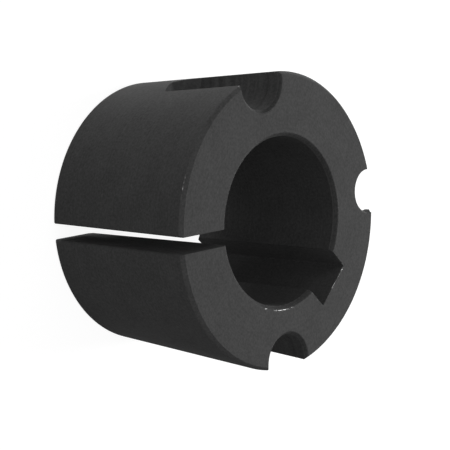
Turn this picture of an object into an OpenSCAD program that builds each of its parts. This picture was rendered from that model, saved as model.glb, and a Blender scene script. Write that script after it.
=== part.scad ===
// Split taper bush: a cast and machined sleeve with a tapered outside, a straight bore with a keyway,
// one split through its wall and three half holes for screws in the rim of its large end.
// It stands on its small end. The origin is on the bore axis, in the small end face, and +Z is up
// through the large end. The keyway lies at +Y.

/* [Tapered body] */
// Diameter of the large end, before its rim is chamfered
large_d = 35.2; // [30:0.1:60]
// Length from face to face
length = 22.2; // [17:0.1:50]
// Included angle of the taper, in degrees
taper_angle = 8; // [2:0.5:12]
// Chamfer on the rim of the large end
large_chamfer = 0.4; // [0.1:0.05:1]
// Chamfer on the rim of the small end
small_chamfer = 0.2; // [0.1:0.05:1]

/* [Bore] */
// Diameter of the bore
bore_d = 20; // [10:0.5:24]
// Chamfer at both ends of the bore
bore_chamfer = 0.45; // [0.1:0.05:1]

/* [Keyway] */
// Width of the keyway
key_w = 6; // [3:0.5:8]
// Depth of the keyway at its middle, from the bore wall
key_depth = 2.8; // [1:0.1:3.4]

/* [Split] */
// Width of the split
split_w = 1.85; // [0.5:0.05:3]
// Angle of the split, from +X
split_angle = -45; // [-60:0.1:-30]
// Distance from the bore axis to the middle plane of the split
split_offset = 0.5; // [0:0.1:1]

/* [Screw half holes] */
// Distance from the rim of the large end in to the middle of each hole
hole_inset = 0.73; // [0.2:0.01:1.5]
// Diameter of the two plain holes that take the locking screws
lock_d = 6.7; // [4:0.1:8.5]
// Depth of the plain holes, to the start of the drill point
lock_depth = 12.4; // [6:0.1:15]
// Angle of the first plain hole, from +X
lock_angle_a = 45.1; // [35:0.1:55]
// Angle of the second plain hole, from +X
lock_angle_b = 235.1; // [225:0.1:245]
// Diameter of the hole that takes the jacking screw, before its thread is cut
jack_d = 5.3; // [4:0.1:8]
// Depth of the jacking hole, to the start of the drill point
jack_depth = 12.4; // [6:0.1:15]
// Angle of the jacking hole, from +X
jack_angle = 140.8; // [131:0.1:151]
// Chamfer at the mouth of the two plain holes
lock_chamfer = 0.35; // [0.1:0.05:1]
// Chamfer at the mouth of the jacking hole
jack_chamfer = 0.1; // [0.05:0.05:1]
// Included angle of the drill point, in degrees
point_angle = 118; // [90:1:140]

/* [Hidden] */
$fn = 96;
// Radii that follow from the diameters
large_r = large_d / 2;
bore_r = bore_d / 2;
hole_circle_r = large_r - hole_inset;
// Gain in radius for each millimetre up the taper
taper_slope = tan(taper_angle / 2);
small_r = large_r - length * taper_slope;
// A cut runs this far past the surface that it opens
past = 1;
iron = [0.24, 0.24, 0.24];

// The sleeve turned about its axis, with its four chamfered rims
module sleeve() {
    rotate_extrude()
        polygon([
            [bore_r, bore_chamfer],
            [bore_r + bore_chamfer, 0],
            [small_r - small_chamfer, 0],
            [small_r + small_chamfer * taper_slope, small_chamfer],
            [large_r - large_chamfer * taper_slope, length - large_chamfer],
            [large_r - large_chamfer, length],
            [bore_r + bore_chamfer, length],
            [bore_r, length - bore_chamfer]
        ]);
}

// Square slot along the whole bore, open to it
module keyway() {
    translate([-key_w / 2, 0, -past])
        cube([key_w, bore_r + key_depth, length + 2 * past]);
}

// Parallel cut through one side of the wall
module split() {
    rotate([0, 0, split_angle])
        translate([0, split_offset - split_w / 2, -past])
            cube([large_r + past, split_w, length + 2 * past]);
}

// Drilled blind hole, parallel to the bore and open at the large end and through the taper
module half_hole(angle, d, depth, chamfer) {
    point_h = d / 2 / tan(point_angle / 2);
    rotate([0, 0, angle])
        translate([hole_circle_r, 0, 0])
            rotate_extrude()
                polygon([
                    [0, length - depth - point_h],
                    [d / 2, length - depth],
                    [d / 2, length - chamfer],
                    [d / 2 + chamfer + past, length + past],
                    [0, length + past]
                ]);
}

module bush() {
    color(iron)
        difference() {
            sleeve();
            keyway();
            split();
            half_hole(lock_angle_a, lock_d, lock_depth, lock_chamfer);
            half_hole(lock_angle_b, lock_d, lock_depth, lock_chamfer);
            half_hole(jack_angle, jack_d, jack_depth, jack_chamfer);
        }
}

bush();
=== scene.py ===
# Split taper bush of phosphated cast iron, standing on its small end, with the table and lamps round it.
# Everything is in metres, in the frame of the CAD model: the bore axis is Z and the keyway lies at +Y.

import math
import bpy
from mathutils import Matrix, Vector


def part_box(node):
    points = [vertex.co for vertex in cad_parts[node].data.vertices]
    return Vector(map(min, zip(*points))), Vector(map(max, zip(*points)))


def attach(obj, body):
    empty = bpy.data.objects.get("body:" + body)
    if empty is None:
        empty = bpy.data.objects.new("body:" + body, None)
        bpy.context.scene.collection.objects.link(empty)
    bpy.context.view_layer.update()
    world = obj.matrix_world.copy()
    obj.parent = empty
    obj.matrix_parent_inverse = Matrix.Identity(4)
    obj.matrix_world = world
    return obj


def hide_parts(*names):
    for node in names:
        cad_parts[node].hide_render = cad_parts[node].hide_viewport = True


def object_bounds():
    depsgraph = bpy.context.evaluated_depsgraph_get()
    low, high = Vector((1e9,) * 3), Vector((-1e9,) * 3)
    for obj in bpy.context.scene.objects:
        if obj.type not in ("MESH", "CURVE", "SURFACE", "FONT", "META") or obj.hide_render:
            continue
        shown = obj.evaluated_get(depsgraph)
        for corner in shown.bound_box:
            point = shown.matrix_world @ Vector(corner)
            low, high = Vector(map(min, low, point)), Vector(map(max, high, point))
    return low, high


bl_info = {
    "name": "Split Taper Bush",
    "version": (1, 0, 0),
    "blender": (4, 5, 0),
    "location": "3D View > Sidebar > Taper Bush",
    "description": "Models a split taper bush of phosphated cast iron and the table that it stands on",
    "category": "Add Mesh",
}

from collections import namedtuple

import bmesh
import bpy
from bpy.props import FloatProperty, FloatVectorProperty, IntProperty, PointerProperty
from mathutils import Vector

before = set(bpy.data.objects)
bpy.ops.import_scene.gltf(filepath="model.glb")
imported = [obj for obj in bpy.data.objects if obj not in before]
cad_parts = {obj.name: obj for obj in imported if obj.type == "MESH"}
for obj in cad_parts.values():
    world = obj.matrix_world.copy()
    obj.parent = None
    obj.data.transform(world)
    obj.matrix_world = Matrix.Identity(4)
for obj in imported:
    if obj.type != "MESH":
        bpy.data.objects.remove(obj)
CAD_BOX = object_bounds()
CAD_LOW, CAD_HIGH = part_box("bush")

MM = 0.001
# A cutter runs this far past the surface that it opens
PAST = 1 * MM
# Points closer together than this are the same point
SAME_PLACE = 2e-6
# A point this close to a plane that cuts a piece off counts as on it
ON_PLANE = SAME_PLACE / 10
# An edge that turns by more than this is an edge of the part and not a facet of a round surface
SHARP_TURN = math.radians(30)
# An edge that turns by less than this lies between two facets
FACET_TURN = math.radians(8)
# A facet narrower than this beside a cut is merged with its neighbour across one of its long edges
SLIVER_WIDTH = 0.12 * MM
# An edge is long from this share of its facet's longest edge
LONG_EDGE_SHARE = 0.7
SLIVER_PASSES = 3
# Corners that a cut leaves closer together than this become one before the edges are rounded
MERGE_BEFORE_ROUNDING = 0.04 * MM
# How far a chamfer's normal points along the bore axis, at least and at most
CHAMFER_SLOPE = (0.5, 0.9)
# Steps round the keyway's floor corners and round the outer edges
KEY_CORNER_STEPS = 4
EDGE_STEPS = 2
# Material slots of the sleeve
TURNED_SLOT = 0
WORN_SLOT = 1
FACED_SLOT = 2
# Slot of the chamfered mouths, whose darker tone is painted shade
SHADED_CHAMFER_SLOT = 3
# Sockets of a Mix node that blends colours, where more than one has the same name
MIX_FACTOR = 0
MIX_FIRST = 6
MIX_SECOND = 7
MIX_RESULT = 2
WHITE = (1, 1, 1, 1)
# Digits that the panel shows of a length in metres
LENGTH_DIGITS = 5
# Levels of finer noise in the coating and in the lines of a tool
GRAIN_DETAIL = 3
LINE_DETAIL = 2
# The lines that a tool left lie square to the way from a centre, once each axis has its weight, and
# are straight where that centre is far off. The feed is the size of a line, the contrast its change
# of tone and the depth its relief.
Marks = namedtuple("Marks", "weights centre feed contrast depth")
TURNED = Marks((0, 0, 1), (0, 0, 0), 0.25 * MM, 0.10, 0.003 * MM)
FACED = Marks((1, 1, 0), (0, 0, 0), 0.25 * MM, 0.08, 0.003 * MM)
DRILLED = Marks((0, 0, 1), (0, 0, 0), 0.9 * MM, 0.4, 0.015 * MM)
BROACHED = Marks((1, 1, 0), (-1, -1, 0), 0.2 * MM, 0.1, 0.004 * MM)
SAWN = Marks((1, 1, 1), (0, 0, 0), 0.35 * MM, 0.25, 0.010 * MM)
# The saw's middle stood this far out from the bore axis, so that it left arcs on the split's walls
SAW_REACH = 50 * MM
# The rounding of the split's outer edges turns this far, then runs straight out past the taper
FLARE_TURN = math.radians(70)
FLARE_STEPS = 3
# How sharply a bare fleck ends
FLECK_EDGE = 2.5
# A place on an edge where more of the coat has rubbed off. A greater weight makes it shorter along
# that axis, and the gain says how much more has gone at its middle.
Wear = namedtuple("Wear", "middle weights reach gain")
WORN_PLACES = (
    Wear((-0.9 * MM, 12.8 * MM, 22.2 * MM), (1, 1, 10), 4 * MM, 0.95),
    Wear((8.1 * MM, 6.6 * MM, 22.2 * MM), (1, 1, 10), 4.5 * MM, 0.85),
    Wear((7.8 * MM, -15.7 * MM, 21.8 * MM), (1, 1, 10), 4 * MM, 0.6),
    Wear((-7.0 * MM, -16.0 * MM, 20.6 * MM), (2, 2, 1), 2.2 * MM, 1.1),
)
# The tap's crest stands this far inside the drilled hole, so that it cuts only its grooves
TAP_CREST_SHORT = 0.05 * MM
# The tap is swept up this many turns too far, then cut off square
SPARE_TURNS = 2
# The lamps, and what the stage's settings hold for each
LAMPS = ("key", "side", "fill", "low", "back", "under")
LAMP_PARTS = ("turn", "height", "distance", "size", "power")
# The lens is given for a film this wide, in millimetres
FILM_WIDTH = 36
# The camera sees nothing nearer than this
NEAREST_SEEN = 1 * MM
TABLE_WIDTH = 4000 * MM
# The table lies this far under the bush, so that no two faces share a plane
TABLE_GAP = 0.02 * MM


def length_property(name, description, default):
    """A size in metres that the panel shows in the scene's own unit."""
    return FloatProperty(
        name=name,
        description=description,
        default=default,
        precision=LENGTH_DIGITS,
        subtype="DISTANCE",
        unit="LENGTH",
    )


def angle_property(name, description, default):
    """An angle, given in degrees and kept in radians."""
    return FloatProperty(
        name=name, description=description, default=math.radians(default), subtype="ANGLE", unit="ROTATION"
    )


def colour_property(name, description, default):
    """A scene-linear colour."""
    return FloatVectorProperty(
        name=name, description=description, default=default, size=3, min=0, max=1, subtype="COLOR"
    )


def share_property(name, description, default):
    """A plain number from 0 to 1."""
    return FloatProperty(name=name, description=description, default=default, min=0, max=1)


def power_property(name, description, default):
    """The power of a lamp, in watts."""
    return FloatProperty(
        name=name, description=description, default=default, min=0, subtype="POWER", unit="POWER"
    )


class BodySizes(bpy.types.PropertyGroup):
    """Sizes of the turned sleeve."""

    large_diameter: length_property(
        "Large diameter", "Diameter of the large end before its rim is chamfered", 35.2 * MM
    )
    length: length_property("Length", "Length from face to face", CAD_HIGH.z - CAD_LOW.z)
    taper: angle_property("Taper", "Included angle of the tapered outside", 8)
    large_chamfer: length_property("Large rim chamfer", "Chamfer on the rim of the large end", 0.4 * MM)
    small_chamfer: length_property("Small rim chamfer", "Chamfer on the rim of the small end", 0.2 * MM)
    bore_diameter: length_property("Bore diameter", "Diameter of the shaft bore", 20 * MM)
    bore_chamfer: length_property("Bore chamfer", "Chamfer at both mouths of the bore", 0.45 * MM)
    edge_break: length_property("Edge break", "Rounding of every outer edge", 0.07 * MM)
    facets: IntProperty(name="Facets", description="Facets round the turned sleeve", default=180, min=32)
    facet_start: angle_property(
        "First facet", "Direction of a facet's corner, clear of every cut edge", 0.83
    )


class CutSizes(bpy.types.PropertyGroup):
    """Sizes of the keyway, the split and the plain half holes."""

    key_width: length_property("Keyway width", "Width of the keyway", 6 * MM)
    key_depth: length_property("Keyway depth", "Depth of the keyway from the bore wall", 2.8 * MM)
    key_corner: length_property("Keyway corner", "Radius in the two corners of the keyway floor", 0.12 * MM)
    split_width: length_property("Split width", "Width of the split through the wall", 1.85 * MM)
    split_angle: angle_property("Split angle", "Direction of the split from +X", -45)
    split_offset: length_property(
        "Split offset", "From the bore axis to the split's middle plane", 0.5 * MM
    )
    split_rounding: length_property("Split rounding", "Rounding of the split's outer edges", 0.42 * MM)
    hole_inset: length_property(
        "Hole inset", "From the large rim in to the middle of each hole", 0.73 * MM
    )
    lock_diameter: length_property("Locking hole", "Diameter of the two plain half holes", 6.7 * MM)
    lock_depth: length_property("Locking hole depth", "Depth to the start of the drill point", 12.4 * MM)
    lock_chamfer: length_property(
        "Locking hole chamfer", "Chamfer at the mouth of the plain holes", 0.35 * MM
    )
    lock_angle_a: angle_property("First locking hole", "Direction of the first plain hole from +X", 45.1)
    lock_angle_b: angle_property(
        "Second locking hole", "Direction of the second plain hole from +X", 235.1
    )
    point_angle: angle_property("Drill point", "Included angle of the drill point", 118)
    facets: IntProperty(
        name="Hole facets", description="Facets round each drilled hole", default=64, min=24
    )


class ThreadSizes(bpy.types.PropertyGroup):
    """Sizes of the threaded half hole that takes the jacking screw."""

    minor_diameter: length_property(
        "Minor diameter", "Diameter of the hole that the thread is cut in", 5.2 * MM
    )
    major_diameter: length_property("Major diameter", "Diameter at the roots of the thread", 6.2 * MM)
    pitch: length_property("Pitch", "Climb of the thread in one turn", 1.27 * MM)
    root_flat: length_property("Root flat", "Width of the flat at the root of the thread", 0.16 * MM)
    flank: angle_property("Flank angle", "Angle of each flank from square to the axis", 30)
    thread_depth: length_property("Thread depth", "Depth to which the hole is threaded", 10.2 * MM)
    hole_depth: length_property("Jacking hole depth", "Depth to the start of the drill point", 12.4 * MM)
    countersink: length_property("Countersink", "Chamfer at the mouth of the jacking hole", 0.25 * MM)
    angle: angle_property("Jacking hole", "Direction of the threaded hole from +X", 140.8)
    start: angle_property("Thread start", "Direction in which the thread's groove leaves the face", 140.8)
    lead_turns: FloatProperty(
        name="Lead", description="Turns over which the thread fades out at its end", default=2, min=0.5
    )


class IronFinish(bpy.types.PropertyGroup):
    """Colours and surface of the phosphated iron."""

    coat: colour_property("Phosphate", "Colour of the phosphate coating", (0.060, 0.060, 0.060))
    bare: colour_property("Bare iron", "Colour where the coating has worn off an edge", (0.20, 0.20, 0.20))
    # The chamfers' darker tone is painted shade: it stands in for shade that the lamps do not give them
    chamfer_shade_tone: share_property("Chamfer tone", "Tone of a hole's chamfered mouth against the rest", 0.72)
    broached_tone: FloatProperty(
        name="Broached tone", description="Tone of the keyway against the rest", default=1.15
    )
    # The split's sawn lines are real, and the walls' darker tone is painted shade in the narrow slot
    sawn_shade_tone: share_property("Sawn tone", "Tone of the split's walls against the rest", 0.8)
    grain: length_property("Grain", "Size of the coating's crystals as seen", 0.28 * MM)
    grain_contrast: share_property("Grain contrast", "How much the crystals change the tone", 0.42)
    grain_height: length_property("Grain height", "How far the crystals stand out", 0.008 * MM)
    blotch: length_property("Blotch", "Size of the darker and lighter patches", 3.5 * MM)
    blotch_contrast: share_property("Blotch contrast", "How much the patches change the tone", 0.14)
    speck_spacing: length_property("Speck spacing", "From one light speck to the next", 0.9 * MM)
    speck_share: share_property("Speck size", "Radius of a speck against their spacing", 0.07)
    speck_contrast: share_property("Speck contrast", "How much lighter a speck is", 0.3)
    roughness: share_property("Roughness", "Roughness of the coating", 0.88)
    roughness_change: share_property("Roughness change", "How much the crystals change it", 0.1)
    gloss: share_property("Gloss", "Specular level of the coating", 0.02)
    bare_roughness: share_property("Bare roughness", "Roughness of bare iron", 0.4)
    fleck: length_property("Fleck", "Size of a bare fleck on an edge", 0.5 * MM)
    fleck_limit: share_property("Fleck limit", "How strong the noise has to be to bare the iron", 0.5)


class StageLook(bpy.types.PropertyGroup):
    """The camera, lamps and table."""

    camera_place: FloatVectorProperty(
        name="Camera place",
        description="Where the camera stands",
        default=(88.225 * MM, -127.815 * MM, 149.620 * MM),
        precision=LENGTH_DIGITS,
        subtype="TRANSLATION",
    )
    camera_turn: FloatVectorProperty(
        name="Camera turn",
        description="How the camera is turned",
        default=tuple(math.radians(angle) for angle in (-5.396, -48.472, 131.445)),
        subtype="EULER",
    )
    lens: FloatProperty(name="Lens", description="Focal length in millimetres", default=137.077, min=1)
    ambient: share_property("Ambient", "Strength of the room's own light", 0.2)
    key_turn: angle_property("Key turn", "Direction of the key lamp from +X", 315)
    key_height: angle_property("Key height", "Angle of the key lamp from level", 68)
    key_distance: length_property("Key distance", "From the bush to the key lamp", 500 * MM)
    key_size: length_property("Key size", "Width of the key lamp", 300 * MM)
    key_power: power_property("Key power", "Power of the key lamp", 0.85)
    side_turn: angle_property("Side turn", "Direction of the side lamp from +X", 135)
    side_height: angle_property("Side height", "Angle of the side lamp from level", 22)
    side_distance: length_property("Side distance", "From the bush to the side lamp", 250 * MM)
    side_size: length_property("Side size", "Width of the side lamp", 100 * MM)
    side_power: power_property("Side power", "Power of the side lamp", 0.75)
    fill_turn: angle_property("Fill turn", "Direction of the fill lamp from +X", 225)
    fill_height: angle_property("Fill height", "Angle of the fill lamp from level", 45)
    fill_distance: length_property("Fill distance", "From the bush to the fill lamp", 250 * MM)
    fill_size: length_property("Fill size", "Width of the fill lamp", 100 * MM)
    fill_power: power_property("Fill power", "Power of the fill lamp", 0.06)
    low_turn: angle_property("Low turn", "Direction of the low lamp from +X", 303)
    low_height: angle_property("Low height", "Angle of the low lamp from level", -12)
    low_distance: length_property("Low distance", "From the bush to the low lamp", 500 * MM)
    low_size: length_property("Low size", "Width of the low lamp", 200 * MM)
    low_power: power_property("Low power", "Power of the low lamp", 0.36)
    back_turn: angle_property("Back turn", "Direction of the back lamp from +X", 180)
    back_height: angle_property("Back height", "Angle of the back lamp from level", -12)
    back_distance: length_property("Back distance", "From the bush to the back lamp", 500 * MM)
    back_size: length_property("Back size", "Width of the back lamp", 200 * MM)
    back_power: power_property("Back power", "Power of the back lamp", 2.2)
    under_turn: angle_property("Under turn", "Direction of the under lamp from +X", 210)
    under_height: angle_property("Under height", "Angle of the under lamp from level", -30)
    under_distance: length_property("Under distance", "From the bush to the under lamp", 500 * MM)
    under_size: length_property("Under size", "Width of the under lamp", 200 * MM)
    under_power: power_property("Under power", "Power of the under lamp", 1.04)
    table: colour_property("Table", "Colour of the table under the lamps", (0.3, 0.3, 0.3))
    table_glow: share_property("Table white", "White of the table in the picture, before its light", 0.9)
    table_shade: colour_property(
        "Table shade", "How much of the table's light and shadow shows", (0.2, 0.2, 0.2)
    )


def work_on(piece):
    """Object mode, with only this piece selected, or nothing if there is none."""
    if bpy.context.object is not None and bpy.context.object.mode != "OBJECT":
        bpy.ops.object.mode_set(mode="OBJECT")
    bpy.ops.object.select_all(action="DESELECT")
    bpy.context.view_layer.objects.active = piece
    if piece is not None:
        piece.select_set(True)


def take_new(name):
    """Names the primitive that was just added, moves its place into its mesh and opens it for editing."""
    piece = bpy.context.object
    piece.name = name
    piece.data.name = name
    bpy.ops.object.transform_apply(location=True, rotation=True, scale=True)
    bpy.ops.object.mode_set(mode="EDIT")
    return piece


def pick(kind, test):
    """In edit mode, selects the points, edges or faces whose list of corner places passes the test."""
    bpy.ops.mesh.select_mode(type=kind)
    bpy.ops.mesh.select_all(action="DESELECT")
    data = bpy.context.object.data
    mesh = bmesh.from_edit_mesh(data)
    if kind == "VERT":
        chosen = [point for point in mesh.verts if test([point.co])]
    else:
        elements = mesh.edges if kind == "EDGE" else mesh.faces
        chosen = [element for element in elements if test([point.co for point in element.verts])]
    for element in chosen:
        element.select_set(True)
    mesh.select_flush_mode()
    bmesh.update_edit_mesh(data)
    if not chosen:
        raise RuntimeError(f"nothing was selected on {bpy.context.object.name}")


def near(value, wanted):
    """Whether two lengths are the same but for rounding."""
    return abs(value - wanted) < SAME_PLACE


def at_height(height):
    """A test for pick: every corner is at this height."""
    return lambda places: all(near(place.z, height) for place in places)


def from_axis(place, axis=(0, 0)):
    """Distance of a place from an upright axis."""
    return math.hypot(place.x - axis[0], place.y - axis[1])


def across(direction, distance, offset=0.0):
    """The place at this distance in a level direction, moved sideways by an offset."""
    return (
        distance * math.cos(direction) - offset * math.sin(direction),
        distance * math.sin(direction) + offset * math.cos(direction),
    )


def large_radius(body):
    """Radius of the large end, before its rim is chamfered."""
    return body.large_diameter / 2


def slope(body):
    """Gain in radius for each metre up the taper."""
    return math.tan(body.taper / 2)


def add_sleeve(body):
    """The turned sleeve: a cone with both rims chamfered and a chamfered bore bridged through it."""
    rise = slope(body)
    top = body.length
    small_radius = large_radius(body) - top * rise
    bore_radius = body.bore_diameter / 2
    low = body.small_chamfer
    high = top - body.large_chamfer
    facet_factor = math.cos(math.pi / body.facets)
    work_on(None)
    bpy.ops.mesh.primitive_cone_add(
        vertices=body.facets,
        radius1=small_radius + low * rise,
        radius2=large_radius(body) - body.large_chamfer * rise,
        depth=high - low,
        end_fill_type="NGON",
        location=(0, 0, (low + high) / 2),
        rotation=(0, 0, body.facet_start),
    )
    sleeve = take_new("taper_bush")
    ends = (
        (high, body.large_chamfer, large_radius(body), 1 - rise),
        (low, body.small_chamfer, small_radius, 1 + rise),
    )
    for height, chamfer, end_radius, run in ends:
        pick("FACE", at_height(height))
        bpy.ops.mesh.inset(thickness=chamfer * run * facet_factor, depth=chamfer)
        flat = end_radius - chamfer - bore_radius - body.bore_chamfer
        bpy.ops.mesh.inset(thickness=flat * facet_factor, depth=0)
        bpy.ops.mesh.inset(thickness=body.bore_chamfer * facet_factor, depth=-body.bore_chamfer)
        bpy.ops.mesh.delete(type="ONLY_FACE")
    mouths = (body.bore_chamfer, top - body.bore_chamfer)
    pick(
        "EDGE",
        lambda places: all(near(from_axis(place), bore_radius) for place in places)
        and any(at_height(mouth)(places) for mouth in mouths),
    )
    bpy.ops.mesh.bridge_edge_loops()
    bpy.ops.mesh.select_all(action="SELECT")
    bpy.ops.mesh.normals_make_consistent(inside=False)
    work_on(sleeve)
    return sleeve


def add_keyway_cutter(body, cut):
    """A bar as wide as the key, with its two floor corners slightly rounded."""
    floor = body.bore_diameter / 2 + cut.key_depth
    work_on(None)
    bpy.ops.mesh.primitive_cube_add(
        size=1,
        location=(0, floor / 2, body.length / 2),
        scale=(cut.key_width, floor, body.length + 2 * PAST),
    )
    cutter = take_new("keyway_cutter")
    pick(
        "EDGE",
        lambda places: all(near(place.y, floor) for place in places) and near(places[0].x, places[1].x),
    )
    bpy.ops.mesh.bevel(offset=cut.key_corner, segments=KEY_CORNER_STEPS, affect="EDGES")
    work_on(cutter)
    return cutter


def flared_side(cut, radius, side):
    """One side of the split's cutter, as distances out and across: its wall, then its rounded edge."""
    wall = cut.split_offset + side * cut.split_width / 2
    rounding = cut.split_rounding
    centre = math.sqrt(radius**2 - wall**2) - rounding
    places = [(0, wall)]
    for step in range(FLARE_STEPS + 1):
        turn = FLARE_TURN * step / FLARE_STEPS
        distance = centre + rounding * math.sin(turn)
        offset = wall + side * rounding * (1 - math.cos(turn))
        places.append((distance, offset))
    reach = (PAST + rounding) / math.cos(FLARE_TURN)
    distance += reach * math.cos(FLARE_TURN)
    offset += side * reach * math.sin(FLARE_TURN)
    places.append((distance, offset))
    return places


def add_split_cutter(body, cut):
    """A plate as thick as the split, from the bore axis out through the wall, flared at the taper."""
    height = body.length + 2 * PAST
    rise = slope(body)
    radius = large_radius(body) - (body.length + PAST) * rise
    outline = flared_side(cut, radius, -1) + flared_side(cut, radius, 1)[::-1]
    work_on(None)
    bpy.ops.mesh.primitive_circle_add(vertices=len(outline), fill_type="NGON")
    cutter = take_new("split_cutter")
    work_on(cutter)
    for corner, (distance, offset) in zip(cutter.data.vertices, outline):
        corner.co = Vector((*across(cut.split_angle, distance, offset), -PAST))
    bpy.ops.object.mode_set(mode="EDIT")
    bpy.ops.mesh.select_all(action="SELECT")
    bpy.ops.mesh.extrude_region_move(TRANSFORM_OT_translate={"value": (0, 0, height)})
    pick("VERT", lambda places: places[0].z > 0 and from_axis(places[0]) > radius / 2)
    bpy.ops.transform.translate(value=(*across(cut.split_angle, height * rise), 0))
    bpy.ops.mesh.select_all(action="SELECT")
    bpy.ops.mesh.normals_make_consistent(inside=False)
    work_on(cutter)
    return cutter


def flare_test(cut):
    """A test for pick: the face is in the rounding of one of the split's outer edges."""
    inner = cut.split_width / 2 + SAME_PLACE
    outer = cut.split_width / 2 + cut.split_rounding
    direction = Vector(across(cut.split_angle, 1))

    def in_flare(places):
        offsets = [abs(direction.cross(place.xy) - cut.split_offset) for place in places]
        return all(inner < offset < outer for offset in offsets)

    return in_flare


def add_drill(name, body, cut, direction, radius, depth, chamfer):
    """A drill's shape: its point, its round body and a flare that leaves a chamfered mouth."""
    x, y = across(direction, large_radius(body) - cut.hole_inset)
    bottom = body.length - depth
    mouth = body.length - chamfer
    point_height = radius / math.tan(cut.point_angle / 2)
    work_on(None)
    bpy.ops.mesh.primitive_cylinder_add(
        vertices=cut.facets,
        radius=radius,
        depth=mouth - bottom,
        end_fill_type="TRIFAN",
        location=(x, y, (bottom + mouth) / 2),
        rotation=(0, 0, direction),
    )
    drill = take_new(name)
    pick("VERT", lambda places: near(places[0].z, bottom) and from_axis(places[0], (x, y)) < radius / 2)
    bpy.ops.transform.translate(value=(0, 0, -point_height))
    pick("FACE", at_height(mouth))
    flare = chamfer + PAST
    bpy.ops.mesh.extrude_region_move(TRANSFORM_OT_translate={"value": (0, 0, flare)})
    grow = (radius + flare) / radius
    bpy.ops.transform.resize(value=(grow, grow, 1), center_override=(x, y, mouth + flare))
    work_on(drill)
    return drill


def add_tap(body, cut, thread):
    """The tap: one pitch of the thread swept up in turns, cut off square, with a tapered lead."""
    x, y = across(thread.angle, large_radius(body) - cut.hole_inset)
    crest = thread.minor_diameter / 2 - TAP_CREST_SHORT
    root = thread.major_diameter / 2
    flank_rise = (root - crest) * math.tan(thread.flank)
    tip = body.length - thread.thread_depth
    base = tip - thread.pitch
    turns = math.ceil((thread.thread_depth + PAST) / thread.pitch) + SPARE_TURNS
    profile = (
        (crest, 0),
        (crest, thread.pitch - thread.root_flat - 2 * flank_rise),
        (root, thread.pitch - thread.root_flat - flank_rise),
        (root, thread.pitch - flank_rise),
        (crest, thread.pitch),
    )
    work_on(None)
    bpy.ops.mesh.primitive_plane_add(size=1)
    tap = take_new("tap")
    pick("VERT", lambda places: places[0].x > 0)
    bpy.ops.mesh.delete(type="VERT")
    bpy.ops.mesh.select_all(action="SELECT")
    bpy.ops.mesh.subdivide(number_cuts=len(profile) - 2)
    work_on(tap)
    corners = sorted(tap.data.vertices, key=lambda corner: corner.co.y)
    for corner, (radius, height) in zip(corners, profile):
        corner.co = Vector((radius, 0, base + height))
    sweep = tap.modifiers.new("Thread", "SCREW")
    sweep.axis = "Z"
    sweep.screw_offset = thread.pitch
    sweep.iterations = turns
    sweep.steps = cut.facets
    sweep.render_steps = cut.facets
    bpy.ops.object.modifier_apply(modifier=sweep.name)
    bpy.ops.object.mode_set(mode="EDIT")
    bpy.ops.mesh.select_all(action="SELECT")
    bpy.ops.mesh.remove_doubles(threshold=SAME_PLACE)
    for height, normal in ((tip, (0, 0, -1)), (body.length + PAST, (0, 0, 1))):
        bpy.ops.mesh.select_all(action="SELECT")
        bpy.ops.mesh.bisect(
            plane_co=(0, 0, height),
            plane_no=normal,
            use_fill=True,
            clear_outer=True,
            threshold=ON_PLANE,
        )
    bpy.ops.mesh.select_all(action="SELECT")
    bpy.ops.mesh.normals_make_consistent(inside=False)
    work_on(None)
    lead = thread.lead_turns * thread.pitch
    bpy.ops.mesh.primitive_cone_add(
        vertices=cut.facets,
        radius1=crest,
        radius2=root + TAP_CREST_SHORT,
        depth=lead,
        end_fill_type="NGON",
        location=(0, 0, tip + lead / 2),
        rotation=(0, 0, math.pi / cut.facets),
    )
    blank = take_new("tap_blank")
    pick("FACE", at_height(tip + lead))
    rest = thread.thread_depth + PAST - lead
    bpy.ops.mesh.extrude_region_move(TRANSFORM_OT_translate={"value": (0, 0, rest + PAST)})
    join_solids(tap, blank, "INTERSECT")
    root_centre = base + thread.pitch - flank_rise - thread.root_flat / 2
    turned = (body.length - root_centre) / thread.pitch % 1
    tap.rotation_euler = (0, 0, thread.start - 2 * math.pi * turned)
    tap.location = (x, y, 0)
    bpy.ops.object.transform_apply(location=True, rotation=True, scale=True)
    return tap


def join_solids(piece, other, operation):
    """Applies a boolean between two pieces and removes the second one."""
    work_on(piece)
    boolean = piece.modifiers.new("Cut", "BOOLEAN")
    boolean.operation = operation
    boolean.solver = "MANIFOLD"
    boolean.material_mode = "TRANSFER"
    boolean.object = other
    bpy.ops.object.modifier_apply(modifier=boolean.name)
    mesh = other.data
    bpy.data.objects.remove(other)
    bpy.data.meshes.remove(mesh)


def carve(piece, cutter, finish):
    """Cuts the cutter out of the piece, leaving the cutter's finish on the cut faces."""
    cutter.data.materials.clear()
    cutter.data.materials.append(finish)
    join_solids(piece, cutter, "DIFFERENCE")


def merge_slivers(piece):
    """Dissolves a facet's edge that a cut passes close beside, so that no narrow strip is left."""
    for _ in range(SLIVER_PASSES):
        bpy.ops.mesh.select_all(action="DESELECT")
        mesh = bmesh.from_edit_mesh(piece.data)
        taken = set()
        for edge in mesh.edges:
            if not edge.is_manifold or edge.calc_face_angle(0) > FACET_TURN:
                continue
            for face in edge.link_faces:
                longest = max(side.calc_length() for side in face.edges)
                narrow = face.calc_area() < SLIVER_WIDTH * longest
                long_edge = edge.calc_length() > LONG_EDGE_SHARE * longest
                if face.index not in taken and narrow and long_edge:
                    edge.select_set(True)
                    taken.update(beside.index for beside in edge.link_faces)
                    break
        bmesh.update_edit_mesh(piece.data)
        if not taken:
            return
        bpy.ops.mesh.dissolve_edges(use_verts=False)


def give_finish(piece, test, slot_number):
    """Gives the faces that pass the test the finish in a slot."""
    bpy.ops.object.mode_set(mode="EDIT")
    pick("FACE", test)
    piece.active_material_index = slot_number
    bpy.ops.object.material_slot_assign()
    work_on(piece)


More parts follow.
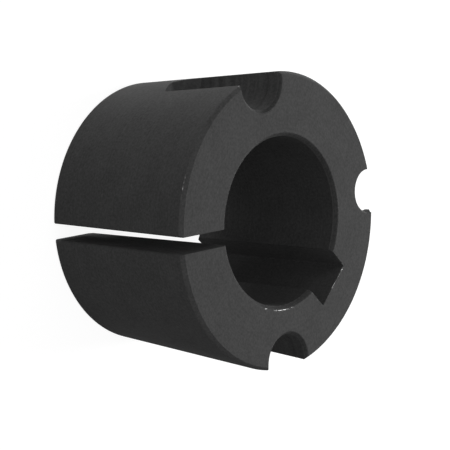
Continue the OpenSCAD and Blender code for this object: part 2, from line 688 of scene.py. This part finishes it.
def mouth_test(axis, radius, chamfer, top):
    """A test for pick: the face is in the chamfered mouth of a hole that opens at this height."""
    low = radius - SAME_PLACE
    high = radius + chamfer + SAME_PLACE
    return lambda places: (
        all(low < from_axis(place, axis) < high for place in places)
        and all(place.z > top - chamfer - SAME_PLACE for place in places)
        and not at_height(top)(places)
    )


def is_chamfer(face):
    """Whether a face slopes about as a chamfer on a flat end does."""
    least, most = CHAMFER_SLOPE
    return least < abs(face.normal.z) < most


def break_edges(piece, width):
    """Rounds every outer edge of the part a little and gives the rounding the finish of a worn edge."""
    work_on(piece)
    bpy.ops.object.mode_set(mode="EDIT")
    bpy.ops.mesh.select_mode(type="EDGE")
    bpy.ops.mesh.select_all(action="SELECT")
    bpy.ops.mesh.remove_doubles(threshold=MERGE_BEFORE_ROUNDING)
    merge_slivers(piece)
    bpy.ops.mesh.select_all(action="DESELECT")
    mesh = bmesh.from_edit_mesh(piece.data)
    for edge in mesh.edges:
        outer = edge.is_manifold and edge.is_convex and edge.calc_face_angle(0) > SHARP_TURN
        if outer and not all(is_chamfer(face) for face in edge.link_faces):
            edge.select_set(True)
    bmesh.update_edit_mesh(piece.data)
    bpy.ops.mesh.bevel(
        offset=width,
        offset_type="OFFSET",
        segments=EDGE_STEPS,
        affect="EDGES",
        material=WORN_SLOT,
        clamp_overlap=False,
        loop_slide=False,
    )
    work_on(piece)


class Wiring:
    """Adds and links the nodes of one material or world."""

    def __init__(self, owner):
        owner.use_nodes = True
        self.nodes = owner.node_tree.nodes
        self.links = owner.node_tree.links
        self.nodes.clear()

    def add(self, kind, inputs, **settings):
        """A node with its settings and its inputs, each a value or the output of another node."""
        node = self.nodes.new("ShaderNode" + kind)
        for name, value in settings.items():
            setattr(node, name, value)
        for key, value in inputs.items():
            if isinstance(value, bpy.types.NodeSocket):
                self.links.new(value, node.inputs[key])
            else:
                node.inputs[key].default_value = value
        return node

    def calc(self, operation, *values, clamp=False):
        """One step of arithmetic."""
        return self.add("Math", dict(enumerate(values)), operation=operation, use_clamp=clamp).outputs[0]

    def noise(self, place, size, detail):
        """Noise of about -1 to 1, with features of this size."""
        texture = self.add("TexNoise", {"Vector": place, "Scale": 1 / size, "Detail": detail})
        return self.calc("MULTIPLY_ADD", texture.outputs["Fac"], 2, -1)

    def tool_lines(self, place, marks):
        """Noise of about -1 to 1 that runs in lines, as a cutting tool leaves them."""
        along = self.add("VectorMath", {0: place, 1: marks.weights}, operation="MULTIPLY")
        away = self.add("VectorMath", {0: along.outputs[0], 1: marks.centre}, operation="DISTANCE")
        texture = self.add(
            "TexNoise",
            {"W": away.outputs["Value"], "Scale": 1 / marks.feed, "Detail": LINE_DETAIL},
            noise_dimensions="1D",
        )
        return self.calc("MULTIPLY_ADD", texture.outputs["Fac"], 2, -1)

    def blend(self, factor, first, second):
        """A colour between two others."""
        inputs = {MIX_FACTOR: factor, MIX_FIRST: first, MIX_SECOND: second}
        return self.add("Mix", inputs, data_type="RGBA").outputs[MIX_RESULT]


def opaque(colour):
    """A colour as a socket takes it."""
    return (*colour, 1)


def bare_share(wiring, place, finish):
    """How far the coating has worn off: small flecks on any edge, more of them near the worn places."""
    wear = wiring.noise(place, finish.fleck, GRAIN_DETAIL)
    for worn in WORN_PLACES:
        weighted = wiring.add("VectorMath", {0: place, 1: worn.weights}, operation="MULTIPLY").outputs[0]
        middle = tuple(value * weight for value, weight in zip(worn.middle, worn.weights))
        away = wiring.add("VectorMath", {0: weighted, 1: middle}, operation="DISTANCE").outputs["Value"]
        inside = wiring.calc("SUBTRACT", 1, wiring.calc("DIVIDE", away, worn.reach), clamp=True)
        wear = wiring.calc("MULTIPLY_ADD", inside, worn.gain, wear)
    past_limit = wiring.calc("SUBTRACT", wear, finish.fleck_limit)
    return wiring.calc("MULTIPLY", past_limit, FLECK_EDGE, clamp=True)


def sight_rays(wiring):
    """1 for a ray that shows the plain white backdrop: from the camera, off gloss or through glass."""
    path = wiring.add("LightPath", {}).outputs
    seen = wiring.calc("MAXIMUM", path["Is Camera Ray"], path["Is Glossy Ray"])
    return wiring.calc("MAXIMUM", seen, path["Is Transmission Ray"])


def iron_finish(name, finish, marks, coat_tone=1, worn=False):
    """Phosphated iron with one cutting tool's lines under its coat, and bare flecks where it is worn."""
    material = bpy.data.materials.new(name)
    wiring = Wiring(material)
    place = wiring.add("TexCoord", {}).outputs["Object"]
    grain = wiring.noise(place, finish.grain, GRAIN_DETAIL)
    blotch = wiring.noise(place, finish.blotch, GRAIN_DETAIL)
    lines = wiring.tool_lines(place, marks)
    crystals = wiring.add("TexVoronoi", {"Vector": place, "Scale": 1 / finish.speck_spacing})
    speck = wiring.calc("LESS_THAN", crystals.outputs["Distance"], finish.speck_share)
    tone = wiring.calc("MULTIPLY_ADD", grain, finish.grain_contrast, coat_tone)
    tone = wiring.calc("MULTIPLY_ADD", blotch, finish.blotch_contrast, tone)
    tone = wiring.calc("MULTIPLY_ADD", lines, marks.contrast, tone)
    tone = wiring.calc("MULTIPLY_ADD", speck, finish.speck_contrast, tone)
    coat = wiring.add("VectorMath", {0: finish.coat, "Scale": tone}, operation="SCALE").outputs[0]
    roughness = wiring.calc("MULTIPLY_ADD", grain, finish.roughness_change, finish.roughness)
    relief = wiring.calc("MULTIPLY", grain, finish.grain_height)
    relief = wiring.calc("MULTIPLY_ADD", lines, marks.depth, relief)
    metal = 0.0
    if worn:
        metal = bare_share(wiring, place, finish)
        coat = wiring.blend(metal, coat, opaque(finish.bare))
        change = finish.bare_roughness - finish.roughness
        roughness = wiring.calc("MULTIPLY_ADD", metal, change, roughness)
    # The relief is in metres already
    bump = wiring.add("Bump", {"Height": relief, "Distance": 1, "Strength": 1})
    shader = wiring.add(
        "BsdfPrincipled",
        {
            "Base Color": coat,
            "Metallic": metal,
            "Roughness": roughness,
            "Specular IOR Level": finish.gloss,
            "Normal": bump.outputs[0],
        },
    )
    wiring.add("OutputMaterial", {"Surface": shader.outputs[0]})
    return material


class MESH_OT_taper_bush(bpy.types.Operator):
    """Models the taper bush in place of its CAD node"""

    bl_idname = "mesh.taper_bush_add"
    bl_label = "Taper Bush"
    bl_options = {"REGISTER", "UNDO"}

    def execute(self, context):
        body = context.scene.bush_body
        cut = context.scene.bush_cuts
        thread = context.scene.bush_thread
        finish = context.scene.bush_finish
        drilled = iron_finish("drilled_iron", finish, DRILLED)
        bush = add_sleeve(body)
        bush.data.materials.append(iron_finish("turned_iron", finish, TURNED))
        bush.data.materials.append(iron_finish("worn_edge", finish, TURNED, worn=True))
        bush.data.materials.append(iron_finish("faced_iron", finish, FACED))
        # The chamfers get a darker copy of the turned finish, which is painted shade
        bush.data.materials.append(iron_finish("chamfered_iron", finish, TURNED, finish.chamfer_shade_tone))
        for height in (0, body.length):
            give_finish(bush, at_height(height), FACED_SLOT)
        bore_radius = body.bore_diameter / 2
        bore_mouth = mouth_test((0, 0), bore_radius, body.bore_chamfer, body.length)
        give_finish(bush, bore_mouth, SHADED_CHAMFER_SLOT)
        broached = iron_finish("broached_iron", finish, BROACHED, finish.broached_tone)
        carve(bush, add_keyway_cutter(body, cut), broached)
        saw_centre = (*across(cut.split_angle, SAW_REACH), body.length / 2)
        # The split's walls get the sawn lines and a darker tone, which is painted shade in the slot
        sawn = iron_finish("sawn_iron", finish, SAWN._replace(centre=saw_centre), finish.sawn_shade_tone)
        carve(bush, add_split_cutter(body, cut), sawn)
        give_finish(bush, flare_test(cut), TURNED_SLOT)
        lock_radius = cut.lock_diameter / 2
        for direction in (cut.lock_angle_a, cut.lock_angle_b):
            drill = add_drill(
                "lock_drill", body, cut, direction, lock_radius, cut.lock_depth, cut.lock_chamfer
            )
            carve(bush, drill, drilled)
            axis = across(direction, large_radius(body) - cut.hole_inset)
            hole_mouth = mouth_test(axis, lock_radius, cut.lock_chamfer, body.length)
            give_finish(bush, hole_mouth, SHADED_CHAMFER_SLOT)
        jack_radius = thread.minor_diameter / 2
        drill = add_drill(
            "jack_drill", body, cut, thread.angle, jack_radius, thread.hole_depth, thread.countersink
        )
        carve(bush, drill, drilled)
        break_edges(bush, body.edge_break)
        carve(bush, add_tap(body, cut, thread), drilled)
        work_on(bush)
        bpy.ops.object.mode_set(mode="EDIT")
        bpy.ops.mesh.select_all(action="SELECT")
        bpy.ops.mesh.remove_doubles(threshold=SAME_PLACE)
        bpy.ops.mesh.dissolve_degenerate(threshold=SAME_PLACE)
        work_on(bush)
        bpy.ops.object.shade_smooth_by_angle(angle=SHARP_TURN)
        weigh = bush.modifiers.new("Flat faces stay flat", "WEIGHTED_NORMAL")
        weigh.keep_sharp = True
        bpy.ops.object.modifier_apply(modifier=weigh.name)
        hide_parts("bush")
        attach(bush, "root")
        return {"FINISHED"}


class SCENE_OT_bush_stage(bpy.types.Operator):
    """Sets the camera, the lamps and the white table"""

    bl_idname = "scene.bush_stage_add"
    bl_label = "Stage"
    bl_options = {"REGISTER", "UNDO"}

    def execute(self, context):
        look = context.scene.bush_stage
        work_on(None)
        bpy.ops.object.camera_add(location=look.camera_place, rotation=look.camera_turn)
        camera = bpy.context.object
        camera.data.lens = look.lens
        camera.data.sensor_width = FILM_WIDTH
        camera.data.clip_start = NEAREST_SEEN
        context.scene.camera = camera
        context.scene.view_settings.view_transform = "Standard"
        bpy.ops.mesh.primitive_plane_add(size=TABLE_WIDTH, location=(0, 0, -TABLE_GAP))
        floor = bpy.context.object
        floor.name = "table"
        white = bpy.data.materials.new("white_table")
        table = Wiring(white)
        paper = table.add("BsdfDiffuse", {"Color": opaque(look.table)})
        glow = table.add("Emission", {"Strength": look.table_glow})
        shade = table.add("BsdfDiffuse", {"Color": opaque(look.table_shade)})
        sight = table.add("AddShader", {0: glow.outputs[0], 1: shade.outputs[0]})
        surface = table.add(
            "MixShader", {0: sight_rays(table), 1: paper.outputs[0], 2: sight.outputs[0]}
        )
        table.add("OutputMaterial", {"Surface": surface.outputs[0]})
        floor.data.materials.append(white)
        # The table casts no shadow, so that the lamps below its level light the bush
        floor.visible_shadow = False
        context.scene.world = bpy.data.worlds.new("studio")
        studio = Wiring(context.scene.world)
        room = studio.add("Background", {"Color": WHITE, "Strength": look.ambient})
        backdrop = studio.add("Background", {"Color": WHITE, "Strength": 1})
        surface = studio.add(
            "MixShader", {0: sight_rays(studio), 1: room.outputs[0], 2: backdrop.outputs[0]}
        )
        studio.add("OutputWorld", {"Surface": surface.outputs[0]})
        middle = (CAD_BOX[0] + CAD_BOX[1]) / 2
        for name in LAMPS:
            settings = [getattr(look, f"{name}_{part}") for part in LAMP_PARTS]
            turn, height, distance, size, power = settings
            away = Vector((*across(turn, math.cos(height)), math.sin(height)))
            bpy.ops.object.light_add(
                type="AREA",
                location=middle + distance * away,
                rotation=away.to_track_quat("Z", "Y").to_euler(),
            )
            lamp = bpy.context.object
            lamp.name = f"{name}_lamp"
            lamp.data.energy = power
            lamp.data.size = size
            lamp.visible_camera = False
        return {"FINISHED"}


class VIEW3D_PT_taper_bush(bpy.types.Panel):
    """Lists the sizes and builds the pieces."""

    bl_idname = "VIEW3D_PT_taper_bush"
    bl_label = "Split Taper Bush"
    bl_space_type = "VIEW_3D"
    bl_region_type = "UI"
    bl_category = "Taper Bush"

    def draw(self, context):
        layout = self.layout
        for group in GROUPS:
            column = layout.column(align=True)
            settings = getattr(context.scene, group)
            for name in settings.__annotations__:
                column.prop(settings, name)
        layout.operator(MESH_OT_taper_bush.bl_idname)
        layout.operator(SCENE_OT_bush_stage.bl_idname)


GROUPS = {
    "bush_body": BodySizes,
    "bush_cuts": CutSizes,
    "bush_thread": ThreadSizes,
    "bush_finish": IronFinish,
    "bush_stage": StageLook,
}
CLASSES = (*GROUPS.values(), MESH_OT_taper_bush, SCENE_OT_bush_stage, VIEW3D_PT_taper_bush)


def register():
    """Adds the classes, and the settings to every scene."""
    for cls in CLASSES:
        bpy.utils.register_class(cls)
    for name, group in GROUPS.items():
        setattr(bpy.types.Scene, name, PointerProperty(type=group))


def unregister():
    """Takes the settings and the classes away again."""
    for name in GROUPS:
        delattr(bpy.types.Scene, name)
    for cls in reversed(CLASSES):
        bpy.utils.unregister_class(cls)


def main():
    """Models the bush and sets its stage."""
    register()
    bpy.ops.mesh.taper_bush_add()
    bpy.ops.scene.bush_stage_add()


if __name__ == "__main__":
    main()
